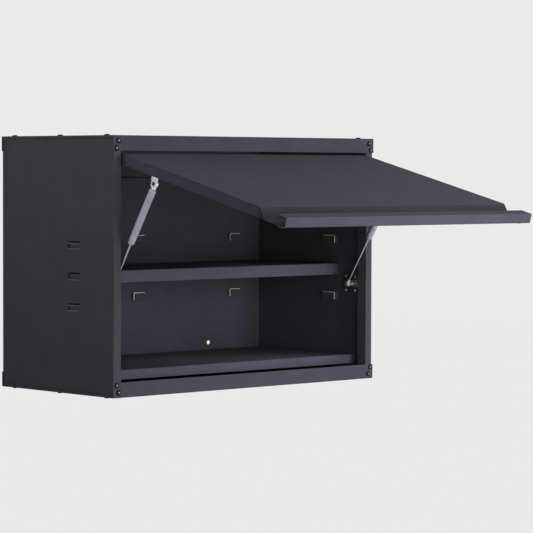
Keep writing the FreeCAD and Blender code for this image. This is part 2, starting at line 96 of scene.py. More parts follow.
def applyModifier(piece, kind, **settings):
    makeActive(piece)
    modifier = piece.modifiers.new(kind.title(), kind)
    for name, value in settings.items():
        setattr(modifier, name, value)
    bpy.ops.object.modifier_apply(modifier=modifier.name)


def settle(piece, place=None):
    # puts the piece's place into its mesh, as the frame's own nodes have it
    if place is not None:
        piece.matrix_world = place
    makeActive(piece)
    bpy.ops.object.transform_apply(location=True, rotation=True, scale=True)
    return piece


def copyOf(piece, name, place):
    twin = piece.copy()
    twin.data = piece.data.copy()
    twin.name = name
    bpy.context.collection.objects.link(twin)
    return settle(twin, place)


def joinAll(pieces, name):
    deselectAll()
    for piece in pieces:
        piece.select_set(True)
    bpy.context.view_layer.objects.active = pieces[0]
    bpy.ops.object.join()
    pieces[0].name = name
    pieces[0].data.name = name
    return pieces[0]


def smooth(piece, angle=35):
    makeActive(piece)
    bpy.ops.object.shade_smooth_by_angle(angle=math.radians(angle))
    return piece


def dress(piece, body, material, slot, *hidden):
    # finish and body of a new piece, and the nodes that it stands in for
    piece.data.materials.clear()
    piece.data.materials.append(material)
    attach(piece, body)
    if hidden:
        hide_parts(*hidden)


def facing(direction, position):
    # a piece made along +Z, turned to a direction and moved
    turn = Vector((0, 0, 1)).rotation_difference(Vector(direction))
    return Matrix.Translation(Vector(position)) @ turn.to_matrix().to_4x4()


# shader graphs: arithmetic on a Wire adds its Math nodes
class Wire:
    def __init__(self, graph, socket):
        self.graph = graph
        self.socket = socket

    def calc(self, operation, other, swapped=False):
        pair = [other, self] if swapped else [self, other]
        return self.graph.add('ShaderNodeMath', {'operation': operation}, {0: pair[0], 1: pair[1]})

    def __add__(self, other): return self.calc('ADD', other)
    def __radd__(self, other): return self.calc('ADD', other, True)
    def __sub__(self, other): return self.calc('SUBTRACT', other)
    def __rsub__(self, other): return self.calc('SUBTRACT', other, True)
    def __mul__(self, other): return self.calc('MULTIPLY', other)
    def __rmul__(self, other): return self.calc('MULTIPLY', other, True)


class Graph:
    def __init__(self, tree, outputKind):
        self.tree = tree
        tree.nodes.clear()
        self.output = tree.nodes.new(outputKind)

    def show(self, wire):
        self.plug(self.output.inputs['Surface'], wire)

    def plug(self, socket, value):
        if isinstance(value, Wire):
            self.tree.links.new(value.socket, socket)
        else:
            socket.default_value = value

    def add(self, kind, settings, values, out=0):
        node = self.tree.nodes.new(kind)
        for name, value in settings.items():
            setattr(node, name, value)
        for name, value in values.items():
            self.plug(node.inputs[name], value)
        return Wire(self, node.outputs[out])

    def seenDirectly(self):
        # 1 for what the eye meets straight on, in a shiny surface or through a clear one
        seen = self.add('ShaderNodeLightPath', {}, {}, 'Is Camera Ray')
        for ray in ('Is Glossy Ray', 'Is Transmission Ray'):
            also = self.add('ShaderNodeLightPath', {}, {}, ray)
            seen = self.add('ShaderNodeMath', {'operation': 'MAXIMUM'}, {0: seen, 1: also})
        return seen


# samples of the two soft lookups, and how quickly a bend counts as an edge
lookups = {'bevelSamples': 6, 'openSamples': 8, 'edgeGain': 6.0}


class Finish(Graph):
    def __init__(self, name):
        self.material = bpy.data.materials.new(name)
        self.material.use_nodes = True
        super().__init__(self.material.node_tree, 'ShaderNodeOutputMaterial')
        self.shader = self.tree.nodes.new('ShaderNodeBsdfPrincipled')
        self.paint = Wire(self, self.shader.outputs[0])
        self.show(self.paint)

    def place(self):
        return self.add('ShaderNodeTexCoord', {}, {}, 'Object')

    def noise(self, scale, detail):
        return self.add('ShaderNodeTexNoise', {},
                        {'Vector': self.place(), 'Scale': scale, 'Detail': detail})

    def spread(self, value, low, high, fromLow=0.3, fromHigh=0.7):
        # stretches the part of a value that varies, 0.3 to 0.7 for noise, over low to high
        return self.add('ShaderNodeMapRange', {}, {
            'Value': value, 'From Min': fromLow, 'From Max': fromHigh, 'To Min': low, 'To Max': high})

    def mixColour(self, factor, first, second):
        return self.add('ShaderNodeMix', {'data_type': 'RGBA'}, {0: factor, 6: first, 7: second}, 2)

    def rounded(self, radius):
        return self.add('ShaderNodeBevel', {'samples': lookups['bevelSamples']}, {'Radius': radius})

    def edgeMask(self, radius):
        # 1 where the surface bends sharply, 0 on the flats
        soft = self.rounded(radius)
        sharp = self.add('ShaderNodeNewGeometry', {}, {}, 'Normal')
        same = self.add('ShaderNodeVectorMath', {'operation': 'DOT_PRODUCT'},
                        {0: soft, 1: sharp}, 'Value')
        return self.add('ShaderNodeClamp', {}, {'Value': (1 - same) * lookups['edgeGain']})

    def crevice(self, reach):
        # 1 in the open, lower where another surface stands within reach
        return self.add('ShaderNodeAmbientOcclusion',
                        {'samples': lookups['openSamples'], 'only_local': False}, {'Distance': reach}, 'AO')

    def band(self, look):
        # 1 between two heights on the closed door, read from where the open door stands
        turn = math.radians(look['turn'])
        pivotY, pivotZ = look['pivot']
        across = (0.0, math.sin(turn), math.cos(turn))
        along = self.add('ShaderNodeVectorMath', {'operation': 'DOT_PRODUCT'},
                         {0: self.place(), 1: across}, 'Value')
        height = along + (pivotZ - pivotY * across[1] - pivotZ * across[2])
        rise = self.spread(height, 0.0, 1.0, look['low'], look['low'] + look['blur'])
        return rise * self.spread(height, 1.0, 0.0, look['high'] - look['blur'], look['high'])

    def bump(self, height, strength, distance, normal):
        values = {'Height': height, 'Strength': strength, 'Distance': distance, 'Normal': normal}
        return self.add('ShaderNodeBump', {}, values)

    def surface(self, **sockets):
        # sockets are named with _ for their spaces
        for name, value in sockets.items():
            self.plug(self.shader.inputs[name.replace('_', ' ')], value)
        return self.material


def shade(colour, factor):
    return tuple(min(1.0, part * factor) for part in colour[:3]) + (1.0,)


def clouded(finish, cloud, look, darkest, lightest):
    # the look's colour, drifting between two shades of itself
    return finish.mixColour(finish.spread(cloud, 0.0, 1.0),
                            shade(look['colour'], darkest), shade(look['colour'], lightest))


# how far each finish drifts, the same for all of its looks; bump heights in metres
paintGrain = {'cloudDetail': 3.0, 'grainDetail': 2.0, 'cloudDark': 0.93, 'cloudLight': 1.07,
              'wearAndHighlightLift': 2.2, 'seamShadeFrom': 0.15, 'seamShadeTo': 0.55, 'wideShadeFrom': 0.1,
              'roughGrain': 0.05, 'roughCloud': 0.03, 'peelHeight': 0.0004}
metalGrain = {'cloudDetail': 2.0, 'grainDetail': 3.0, 'cloudDark': 0.9, 'cloudLight': 1.05,
              'roughGrain': 0.06, 'peelHeight': 0.0002, 'coatRoughness': 0.12}


def paintFinish(name, look):
    # powder coat: fine orange peel, faint cloudiness, edges a little lighter, partly rubbed wear and partly
    # a painted highlight
    finish = Finish(name)
    settings = paintGrain
    cloud = finish.noise(look['cloudScale'], settings['cloudDetail'])
    grain = finish.noise(look['grainScale'], settings['grainDetail'])
    edge = finish.edgeMask(look['edgeRadius'])
    body = clouded(finish, cloud, look, settings['cloudDark'], settings['cloudLight'])
    # edges are mixed towards a lighter colour: partly wear, partly a painted highlight where edges catch
    # light
    wornAndLit = look.get('edgeWearAndHighlightColour', tuple(settings['wearAndHighlightLift'] * part for part in look['colour'])) + (1.0,)
    colour = finish.mixColour(edge * look['edgeWearAndHighlight'], body, wornAndLit)
    if 'seamShadeReach' in look:  # painted shade: darker in seams and under folded edges, where other surfaces stand close
        seamOpenness = finish.crevice(look['seamShadeReach'])
        hidden = finish.spread(seamOpenness, 1.0, 0.0, settings['seamShadeFrom'], settings['seamShadeTo'])
        colour = finish.mixColour(hidden, colour, shade(look['colour'], look['seamShadeDark']))
        # painted shade over a wider reach, as under the top rail and by the door's hinge end
        wideOpenness = finish.crevice(look['wideShadeReach'])
        hidden = finish.spread(wideOpenness, 1.0, 0.0, settings['wideShadeFrom'], look['wideShadeOpen'])
        colour = finish.mixColour(hidden, colour, shade(look['colour'], look['wideShadeDark']))
    if 'grooveShade' in look:  # painted shade: a band over the slope above the finger pull is darkened
        colour = finish.mixColour(finish.band(look['grooveShade']) * look['grooveShade']['share'], colour,
                                  look['grooveShade']['colour'] + (1.0,))
    rough = (look['roughness'] + finish.spread(grain, -settings['roughGrain'], settings['roughGrain'])
             + finish.spread(cloud, -settings['roughCloud'], settings['roughCloud']))
    normal = finish.bump(grain, look['peel'], settings['peelHeight'], finish.rounded(look['edgeRadius']))
    return finish.surface(Base_Color=colour, Roughness=rough, Normal=normal,
                          Specular_IOR_Level=look['specular'],
                          Specular_Tint=look.get('tint', (1, 1, 1)) + (1,))


def metalFinish(name, look):
    # plated or thinly painted metal: fine grain under a faint cloudiness, a clear coat on some
    finish = Finish(name)
    settings = metalGrain
    grain = finish.noise(look['grainScale'], settings['grainDetail'])
    cloud = finish.noise(look['cloudScale'], settings['cloudDetail'])
    colour = clouded(finish, cloud, look, settings['cloudDark'], settings['cloudLight'])
    rough = look['roughness'] + finish.spread(grain, -settings['roughGrain'], settings['roughGrain'])
    normal = finish.bump(grain, look['peel'], settings['peelHeight'], finish.rounded(look['edgeRadius']))
    return finish.surface(Base_Color=colour, Roughness=rough, Metallic=look['metallic'], Normal=normal,
                          Coat_Weight=look.get('coat', 0.0), Coat_Roughness=settings['coatRoughness'])


# looks: colours are linear, noise scales are per metre, radii and reaches are in metres
paintLook = {'colour': (0.056, 0.0535, 0.071), 'roughness': 0.8, 'specular': 0.04, 'cloudScale': 14.0,
             'grainScale': 900.0, 'edgeRadius': 0.0012, 'edgeWearAndHighlight': 0.3, 'peel': 0.12, 'seamShadeReach': 0.004,
             'seamShadeDark': 0.35, 'wideShadeReach': 0.045, 'wideShadeDark': 0.6, 'wideShadeOpen': 0.6,
             'tint': (0.93, 0.86, 1.0)}
paintedLightTrayLook = dict(paintLook, colour=(0.073, 0.070, 0.092))  # painted light: the shelf and the floor get a lighter copy of the paint, for the extra light on them
sideLook = dict(paintLook, colour=(0.056, 0.0545, 0.067), wideShadeDark=0.85)
# the door's painted shade reaches farther and is darker, under the top rail and at the hinge
doorLook = dict(paintLook, wideShadeReach=0.08, wideShadeDark=0.5, wideShadeOpen=0.9,
                # painted shade band on the door, darkening the slope above the finger pull
                # hinge line and turn as the door stands open, heights as it stands closed
                grooveShade={'pivot': (-0.368, 0.2027), 'turn': 76.0, 'low': -0.2040, 'high': -0.1822,
                        'blur': 0.0015, 'share': 0.75, 'colour': (0.026, 0.026, 0.028)})
# painted highlight: the outer ribs get a lighter copy of the side paint
paintedHighlightRibLook = dict(sideLook, colour=(0.108, 0.106, 0.114), seamShadeDark=0.7)
# the pale edge colour of the black paint is mostly a painted highlight, with some wear
blackLook = {'colour': (0.016, 0.016, 0.018), 'roughness': 0.42, 'specular': 0.25, 'cloudScale': 60.0,
             'grainScale': 1500.0, 'edgeRadius': 0.0006, 'edgeWearAndHighlight': 1.0, 'edgeWearAndHighlightColour': (0.16, 0.15, 0.16),
             'peel': 0.15}
glossLook = {'colour': (0.004, 0.004, 0.005), 'roughness': 0.36, 'specular': 0.12, 'cloudScale': 200.0,
             'grainScale': 2200.0, 'edgeRadius': 0.0003, 'edgeWearAndHighlight': 0.15, 'peel': 0.08}
# the plate's pale edge colour is a painted highlight on its edges, with some wear
plateLook = {'colour': (0.042, 0.040, 0.046), 'roughness': 0.5, 'specular': 0.1, 'cloudScale': 60.0,
             'grainScale': 1500.0, 'edgeRadius': 0.0006, 'edgeWearAndHighlight': 1.0, 'edgeWearAndHighlightColour': (0.3, 0.29, 0.3),
             'peel': 0.15}
# painted highlight: pale metal for the pocket angles and the plate flange's end
paintedHighlightLook = {'colour': (0.78, 0.77, 0.78), 'roughness': 0.4, 'metallic': 0.1, 'cloudScale': 200.0,
            'grainScale': 1800.0, 'edgeRadius': 0.0003, 'peel': 0.1}
# painted highlight: pale metal for the glint in the screw sockets
socketGlintLook = {'colour': (0.30, 0.30, 0.31), 'roughness': 0.4, 'metallic': 0.3, 'cloudScale': 400.0,
              'grainScale': 2500.0, 'edgeRadius': 0.0002, 'peel': 0.1}
rubberLook = {'colour': (0.020, 0.020, 0.022), 'roughness': 0.72, 'specular': 0.4, 'cloudScale': 150.0,
              'grainScale': 2500.0, 'edgeRadius': 0.0006, 'edgeWearAndHighlight': 0.1, 'peel': 0.2}
zincLook = {'colour': (0.74, 0.73, 0.76), 'roughness': 0.34, 'metallic': 0.85, 'cloudScale': 220.0,
            'grainScale': 1800.0, 'edgeRadius': 0.0004, 'peel': 0.15}
endLook = {'colour': (0.58, 0.55, 0.53), 'roughness': 0.32, 'metallic': 0.8, 'cloudScale': 220.0,
           'grainScale': 1800.0, 'edgeRadius': 0.0004, 'peel': 0.15}
screwLook = {'colour': (0.42, 0.43, 0.45), 'roughness': 0.38, 'metallic': 0.85, 'cloudScale': 220.0,
             'grainScale': 1800.0, 'edgeRadius': 0.0004, 'peel': 0.15}
tabLook = {'colour': (0.70, 0.68, 0.68), 'roughness': 0.4, 'metallic': 0.2, 'cloudScale': 160.0,
           'grainScale': 1800.0, 'edgeRadius': 0.0004, 'peel': 0.12}
tubeLook = {'colour': (0.33, 0.32, 0.395), 'roughness': 0.3, 'metallic': 0.45, 'cloudScale': 60.0,
            'grainScale': 1200.0, 'edgeRadius': 0.0004, 'peel': 0.08, 'coat': 0.6}
rodLook = {'colour': (0.34, 0.33, 0.38), 'roughness': 0.2, 'metallic': 1.0, 'cloudScale': 90.0,
           'grainScale': 900.0, 'edgeRadius': 0.0003, 'peel': 0.03}
brassLook = {'colour': (0.46, 0.36, 0.29), 'roughness': 0.36, 'metallic': 0.8, 'cloudScale': 200.0,
             'grainScale': 1500.0, 'edgeRadius': 0.0004, 'peel': 0.1}

powderCoat = paintFinish('powderCoat', paintLook)
trayCoat = paintFinish('trayCoat', paintedLightTrayLook)
sideCoat = paintFinish('sideCoat', sideLook)
doorCoat = paintFinish('doorCoat', doorLook)
ribCoat = paintFinish('ribCoat', paintedHighlightRibLook)
blackPaint = paintFinish('blackPaint', blackLook)
blackGloss = paintFinish('blackGloss', glossLook)
plateBlack = paintFinish('plateBlack', plateLook)
bumperRubber = paintFinish('bumperRubber', rubberLook)
bareEdge = metalFinish('bareEdge', paintedHighlightLook)
socketZinc = metalFinish('socketZinc', socketGlintLook)
zincPlate = metalFinish('zincPlate', zincLook)
endPlate = metalFinish('endPlate', endLook)
screwSteel = metalFinish('screwSteel', screwLook)
tabPaint = metalFinish('tabPaint', tabLook)
tubePaint = metalFinish('tubePaint', tubeLook)
rodChrome = metalFinish('rodChrome', rodLook)
bushBrass = metalFinish('bushBrass', brassLook)

slotFinish = {'cabinet_paint': powderCoat, 'black_hardware': blackPaint, 'zinc_hardware': zincPlate,
              'strut_paint': tubePaint, 'rod_chrome': rodChrome, 'brass_bush': bushBrass,
              'bumper_rubber': bumperRubber}
nodeFinish = {'shelf': trayCoat, 'raised_floor': trayCoat, 'side_panel_left': sideCoat,
              'side_panel_right': sideCoat, 'door_skin': doorCoat}
for part in frame["record"]["subparts"]:
    mesh = nodes[part["node"]].data
    mesh.materials.clear()
    mesh.materials.append(nodeFinish.get(part["node"], slotFinish[part["material_slot"]]))
print("finishes assigned")


# building new pieces
def turnedPiece(name, profile, sides):
    # a round closed piece drawn up from its foot in steps of (height, radius), in millimetres
    deselectAll()
    height, radius = profile[0]
    bpy.ops.mesh.primitive_circle_add(vertices=sides, radius=radius / 1000, fill_type='NGON',
                                      location=(0, 0, height / 1000))
    piece = bpy.context.object
    piece.name = name
    bpy.ops.object.mode_set(mode='EDIT')
    bpy.ops.mesh.select_all(action='SELECT')
    for nextHeight, nextRadius in profile[1:]:
        rise = (nextHeight - height) / 1000
        bpy.ops.mesh.extrude_region_move(TRANSFORM_OT_translate={'value': (0, 0, rise)})
        growth = nextRadius / radius
        bpy.ops.transform.resize(value=(growth, growth, 1), center_override=(0, 0, 0))
        height, radius = nextHeight, nextRadius
    outwards()
    return settle(piece)


def blockPiece(name, low, high):
    # corners in millimetres
    deselectAll()
    centre = [(first + last) / 2000 for first, last in zip(low, high)]
    bpy.ops.mesh.primitive_cube_add(size=1, location=centre)
    block = bpy.context.object
    block.scale = [(last - first) / 1000 for first, last in zip(low, high)]
    block.name = name
    return settle(block)


def roundCorners(piece, corner, test):
    radius, steps = corner  # millimetres, and how many facets
    pickEdges(piece, test)
    bpy.ops.mesh.bevel(offset=radius / 1000, segments=steps, affect='EDGES')
    bpy.ops.object.mode_set(mode='OBJECT')
    return piece


def combine(piece, tool, operation):
    applyModifier(piece, 'BOOLEAN', operation=operation, solver='EXACT', object=tool)
    bpy.data.objects.remove(tool, do_unlink=True)
    return piece


softCorner = {'steps': 2, 'angle': 38}  # edges bent by more than the angle are rounded


def softEdges(piece, width):
    applyModifier(piece, 'BEVEL', width=width / 1000, segments=softCorner['steps'], limit_method='ANGLE',
                  angle_limit=math.radians(softCorner['angle']), miter_outer='MITER_ARC')
    return smooth(piece)


def alongX(piece, side=1):
    # turns a piece made along +Z to point along +X, or -X for the left side
    return settle(piece, Matrix.Rotation(math.radians(90 * side), 4, 'Y'))


def shift(x, y, z):
    # a move in millimetres
    return Matrix.Translation(Vector((x / 1000, y / 1000, z / 1000)))


hair = 1e-5  # a hundredth of a millimetre, for telling places apart
squareOn = 0.9  # how nearly a face has to look straight along an axis
hexSides = 6  # nuts and key sockets


def runsAlongX(a, b):
    return abs(a.y - b.y) < hair and abs(a.z - b.z) < hair


def mirrorTo(piece, side):
    # a piece made for the right-hand side, turned over for the left
    if side < 0:
        settle(piece, Matrix.Scale(-1, 4, (1, 0, 0)))
        makeActive(piece)
        bpy.ops.object.mode_set(mode='EDIT')
        outwards()
        bpy.ops.object.mode_set(mode='OBJECT')
    return piece


def bySides(makePiece, name, node, body, material, slot):
    # one piece for each side, in place of that side's node
    for side, word in ((-1, 'left'), (1, 'right')):
        piece = makePiece(side)
        piece.name = name + word.title()
        rides = body if body in ('cabinet', 'door') else body + '_' + word
        dress(piece, rides, material, slot, node + '_' + word)


# button screws at the corners and on the top and bottom covers, in millimetres
buttonScrew = {'profile': [(0, 5.35), (0.25, 5.6), (0.7, 5.6), (1.3, 5.25), (1.9, 4.5), (2.35, 3.5),
                           (2.6, 2.6)],
               'socket': [(1.9, 1.95), (2.7, 1.95)], 'sides': 32, 'smoothBelow': 40, 'turn': 0.6,
               'glintRadius': 2.2, 'glintFrom': 1.5, 'rimFrom': 2.55, 'rimFacing': 0.5,
               'corners': [(342.2, 243.4), (347.1, 229.2)], 'frontY': -355.0,
               'coverX': 343.5, 'coverY': (-321.0, -175.0, -27.0), 'coverZ': 254.0}


def makeButtonScrew():
    settings = buttonScrew
    head = turnedPiece('buttonScrew', settings['profile'], settings['sides'])
    combine(head, turnedPiece('socketTool', settings['socket'], hexSides), 'DIFFERENCE')
    return smooth(head, settings['smoothBelow'])


def paintedGlintSocket(screw, place, direction):
    # painted highlight: the socket floor gets a pale metal finish for the glint seen in it, and the rim
    # round it stays black
    settings = buttonScrew
    screw.data.materials.append(socketZinc)
    foot, axis = Vector(place), Vector(direction)
    for face in screw.data.polygons:
        offset = face.center - foot
        height = offset.dot(axis)
        inside = (offset - axis * height).length < settings['glintRadius'] / 1000
        rim = (height > settings['rimFrom'] / 1000
               and face.normal.dot(axis) > settings['rimFacing'])
        if inside and height > settings['glintFrom'] / 1000 and not rim:
            face.material_index = 1


def addButtonScrews():
    model = makeButtonScrew()
    settings = buttonScrew
    rows = {'cornerScrew': [], 'topScrew': [], 'bottomScrew': []}
    for x, z in settings['corners']:
        rows['cornerScrew'] += [((0, -1, 0), (sideX * x, settings['frontY'], sideZ * z))
                                for sideX in (-1, 1) for sideZ in (-1, 1)]
    for y in settings['coverY']:
        for sideX in (-1, 1):
            rows['topScrew'].append(((0, 0, 1), (sideX * settings['coverX'], y, settings['coverZ'])))
            rows['bottomScrew'].append(((0, 0, -1), (sideX * settings['coverX'], y, -settings['coverZ'])))
    count = 0
    for name, places in rows.items():
        for number, (direction, place) in enumerate(places, 1):
            turn = Matrix.Rotation(settings['turn'] * count, 4, 'Z')  # each was tightened to its own angle
            foot = [part / 1000 for part in place]
            screw = copyOf(model, f'{name}{number}', facing(direction, foot) @ turn)
            dress(screw, 'cabinet', blackGloss, 'black_hardware', name.replace('Screw', '_screws'))
            paintedGlintSocket(screw, foot, direction)
            count += 1
    bpy.data.objects.remove(model, do_unlink=True)
    print("button screws:", count)


addButtonScrews()


# lower anchors of the struts
panScrew = {'profile': [(0, 3.4), (0.2, 3.6), (0.7, 3.6), (1.25, 3.1), (1.6, 2.4), (1.8, 1.5)], 'sides': 28,
            'smoothBelow': 40, 'slotLength': 3.4, 'slotWidth': 0.8, 'slotDepth': 1.0, 'turn': 0.9,
            'faceX': 351.0, 'placesY': (-277.5, -305.5), 'placesZ': (-39.0, -69.0)}
anchorPlate = {'x': (351.0, 352.5), 'y': (-319.0, -270.0), 'z': (-75.0, -33.0), 'corner': (4.0, 5),
               'flangeX': 345.0, 'flangeY': 1.5, 'flangeInset': 4.0, 'flangeCorner': (2.5, 4),
               'overlap': 0.9, 'edge': 0.35, 'lean': 4.0, 'leanFrom': -316.0}
anchorStud = {'x': 351.0, 'y': -309.0, 'z': -54.0, 'nut': [(0, 7.0), (0.4, 7.5), (3.0, 7.5), (3.5, 6.8)],
              'washer': [(0, 8.5), (0.2, 8.8), (1.1, 8.8), (1.4, 8.4)], 'washerLift': 3.4,
              'washerSides': 28, 'threadSides': 24,
              'radius': 4.0, 'start': 3.0, 'end': 13.1, 'pitch': 1.1, 'threadDepth': 0.35,
              'plainEnd': 0.6, 'endChamfer': 0.1}
brassBush = {'startX': 337.9, 'sides': 32,
             'profile': [(0, 5.8), (0.4, 6.5), (1.7, 6.5), (2.1, 4.6), (6.9, 4.6), (7.3, 5.4),
                         (8.6, 5.4), (9.0, 4.9)]}


def makePanScrew():
    settings = panScrew
    head = turnedPiece('panScrew', settings['profile'], settings['sides'])
    half, wide = settings['slotLength'] / 2, settings['slotWidth'] / 2
    top = settings['profile'][-1][0]
    low, high = top - settings['slotDepth'], top + 1
    combine(head, blockPiece('slotTool', (-half, -wide, low), (half, wide, high)), 'DIFFERENCE')
    combine(head, blockPiece('slotTool', (-wide, -half, low), (wide, half, high)), 'DIFFERENCE')
    return smooth(head, settings['smoothBelow'])


def addPanScrews():
    settings = panScrew
    model = makePanScrew()
    for side, word in ((-1, 'left'), (1, 'right')):
        number = 0
        for y in settings['placesY']:
            for z in settings['placesZ']:
                number += 1
                position = facing((-side, 0, 0), (side * settings['faceX'] / 1000, y / 1000, z / 1000))
                screw = copyOf(model, f'plateScrew{word.title()}{number}',
                               position @ Matrix.Rotation(settings['turn'] * number, 4, 'Z'))
                dress(screw, 'cabinet', screwSteel, 'zinc_hardware', 'wall_plate_screws_' + word)
    bpy.data.objects.remove(model, do_unlink=True)


def makeAnchorPlate(side):
    settings = anchorPlate
    (x0, x1), (y0, y1), (z0, z1) = settings['x'], settings['y'], settings['z']
    plate = blockPiece('plate', (x0, y0, z0), (x1, y1, z1))
    roundCorners(plate, settings['corner'], runsAlongX)
    inset = settings['flangeInset']
    flange = blockPiece('flange', (settings['flangeX'], y0, z0 + inset),
                        (x0 + settings['overlap'], y0 + settings['flangeY'], z1 - inset))
    roundCorners(flange, settings['flangeCorner'], lambda a, b:
                 max(a.x, b.x) < settings['flangeX'] / 1000 + hair and abs(a.z - b.z) < hair)
    combine(plate, flange, 'UNION')
    softEdges(plate, settings['edge'])
    middle, front = (z0 + z1) / 2000, settings['leanFrom'] / 1000
    for up in (-1, 1):  # the bent front edge leans out towards its foot
        slidePoints(plate, (0, up * settings['lean'] / 1000, 0),
                    lambda point: point.y < front and (point.z - middle) * up > 0)
    return mirrorTo(plate, side)


def makeAnchorStud(side):
    settings = anchorStud
    radius, step = settings['radius'], settings['pitch'] / 2
    thread, height = [(settings['start'], radius)], settings['start'] + step
    while height < settings['end'] - settings['plainEnd']:  # a crest and a root by turns
        thread.append((height, radius - settings['threadDepth'] * (len(thread) % 2)))
        height += step
    thread.append((settings['end'], radius - settings['endChamfer']))
    nut = turnedPiece('nut', settings['nut'], hexSides)
    raised = [(height + settings['washerLift'], reach) for height, reach in settings['washer']]
    washer = turnedPiece('washer', raised, settings['washerSides'])
    stud = joinAll([nut, washer, turnedPiece('stud', thread, settings['threadSides'])], 'stud')
    smooth(stud)
    alongX(stud, -side)
    return settle(stud, shift(side * settings['x'], settings['y'], settings['z']))


def makeBrassBush(side):
    settings = brassBush
    bush = smooth(turnedPiece('bush', settings['profile'], settings['sides']))
    alongX(bush, -side)
    return settle(bush, shift(side * settings['startX'], anchorStud['y'], anchorStud['z']))


bySides(makeAnchorPlate, 'anchorPlate', 'wall_plate', 'cabinet', plateBlack, 'black_hardware')
for word in ('Left', 'Right'):
    plate = bpy.data.objects['anchorPlate' + word]
    plate.data.materials.append(bareEdge)
    for face in plate.data.polygons:  # painted highlight: the flange's end faces get the pale metal finish
        if abs(face.center.x) < anchorPlate['flangeX'] / 1000 + hair and abs(face.normal.x) > squareOn:
            face.material_index = 1
bySides(makeAnchorStud, 'anchorStud', 'wall_stud', 'cabinet', bushBrass, 'brass_bush')
bySides(makeBrassBush, 'brassBush', 'stud_bush', 'cabinet', bushBrass, 'brass_bush')
addPanScrews()
print("lower anchors done")


# painted highlight: bright metal angles on the shelf pockets' top and front edges, in place of the light
# those rounded edges catch
pocketHighlight = {'rows': (38.93, -83.07), 'top': 8.7, 'low': -7.3, 'rise': 0.5, 'proud': 0.7, 'sink': 0.5,
              'thick': 1.3, 'corner': (3.4, 5), 'edge': 0.3, 'backX': (-274.5, 0.0, 274.5), 'backY': -8.0,
              'backHalf': 14.63, 'sideX': 345.5, 'sideY': -230.0, 'sideHalf': 18.83}


def makePocketHighlight(half):
    # an angle of bright metal seen from the front, a painted highlight: its upright at the -X end, the
    # pocket's face at y = 0
    settings = pocketHighlight
    top, low, thick = settings['top'] + settings['rise'], settings['low'], settings['thick']
    front, rear = -settings['proud'], settings['sink']
    radius, steps = settings['corner']
    edge = blockPiece('edge', (-half - settings['rise'], front, low), (half, rear, top))
    roundCorners(edge, (radius, steps), lambda a, b: min(a.z, b.z) > top / 1000 - hair
                 and max(a.x, b.x) < -half / 1000 and abs(a.x - b.x) < hair)
    inner = blockPiece('inner', (-half - settings['rise'] + thick, front - 1, low - 1),
                       (half + 1, rear + 1, top - thick))
    roundCorners(inner, (radius - thick / 2, steps - 1), lambda a, b:
                 min(a.z, b.z) > (top - thick) / 1000 - hair
                 and max(a.x, b.x) < (1 - half) / 1000 and abs(a.x - b.x) < hair)
    combine(edge, inner, 'DIFFERENCE')
    return softEdges(edge, settings['edge'])


def addPocketHighlights():
    settings = pocketHighlight
    for row, z in enumerate(settings['rows'], 1):
        for number, x in enumerate(settings['backX'], 1):
            edge = settle(makePocketHighlight(settings['backHalf']), shift(x, settings['backY'], z))
            edge.name = f'backPocketEdge{row}{number}'
            dress(edge, 'cabinet', bareEdge, 'zinc_hardware')
        for side, word in ((-1, 'Left'), (1, 'Right')):
            edge = makePocketHighlight(settings['sideHalf'])
            mirrorTo(edge, -1)  # its upright is at the front of a side pocket
            settle(edge, shift(settings['sideX'], settings['sideY'], z)
                   @ Matrix.Rotation(math.radians(-90), 4, 'Z'))
            mirrorTo(edge, side)
            edge.name = f'sidePocketEdge{row}{word}'
            dress(edge, 'cabinet', bareEdge, 'zinc_hardware')
    print("pocket edges done")


addPocketHighlights()

pocketRib = {'profile': [(-19.3, 1.3), (-19.1, 1.6), (19.1, 1.6), (19.3, 1.3)], 'sides': 20,
             'sideY': -230.0, 'foot': (352.9, -7.3), 'bar': (351.6, 3.0), 'rows': (38.93, -22.07, -83.07),
             'flapX': (349.6, 351.9), 'flapY': (-249.2, -216.5), 'flapZ': (-7.6, 4.4), 'flapEdge': 0.5}


def addPocketRibs():
    # rounded ribs and a flap in the recesses seen on the outside of the side panels; the ribs wear a
    # lighter paint, a painted highlight
    settings = pocketRib
    model = turnedPiece('pocketRib', settings['profile'], settings['sides'])
    settle(model, Matrix.Rotation(math.radians(90), 4, 'X'))
    smooth(model)
    for row, z in enumerate(settings['rows'], 1):
        for place in ('foot', 'bar'):
            if place == 'bar' and row == 2:  # the shelf's own row has no upper rib
                continue
            x, lift = settings[place]
            for side, word in ((-1, 'Left'), (1, 'Right')):
                rib = copyOf(model, f'{place}Rib{row}{word}', shift(side * x, settings['sideY'], z + lift))
                dress(rib, 'cabinet', ribCoat, 'cabinet_paint')
        low, high = zip(settings['flapX'], settings['flapY'], [z + edge for edge in settings['flapZ']])
        for side, word in ((-1, 'Left'), (1, 'Right')):
            flap = softEdges(blockPiece(f'recessFlap{row}{word}', low, high), settings['flapEdge'])
            dress(mirrorTo(flap, side), 'cabinet', sideCoat, 'cabinet_paint')
    bpy.data.objects.remove(model, do_unlink=True)
    print("pocket ribs done")


addPocketRibs()


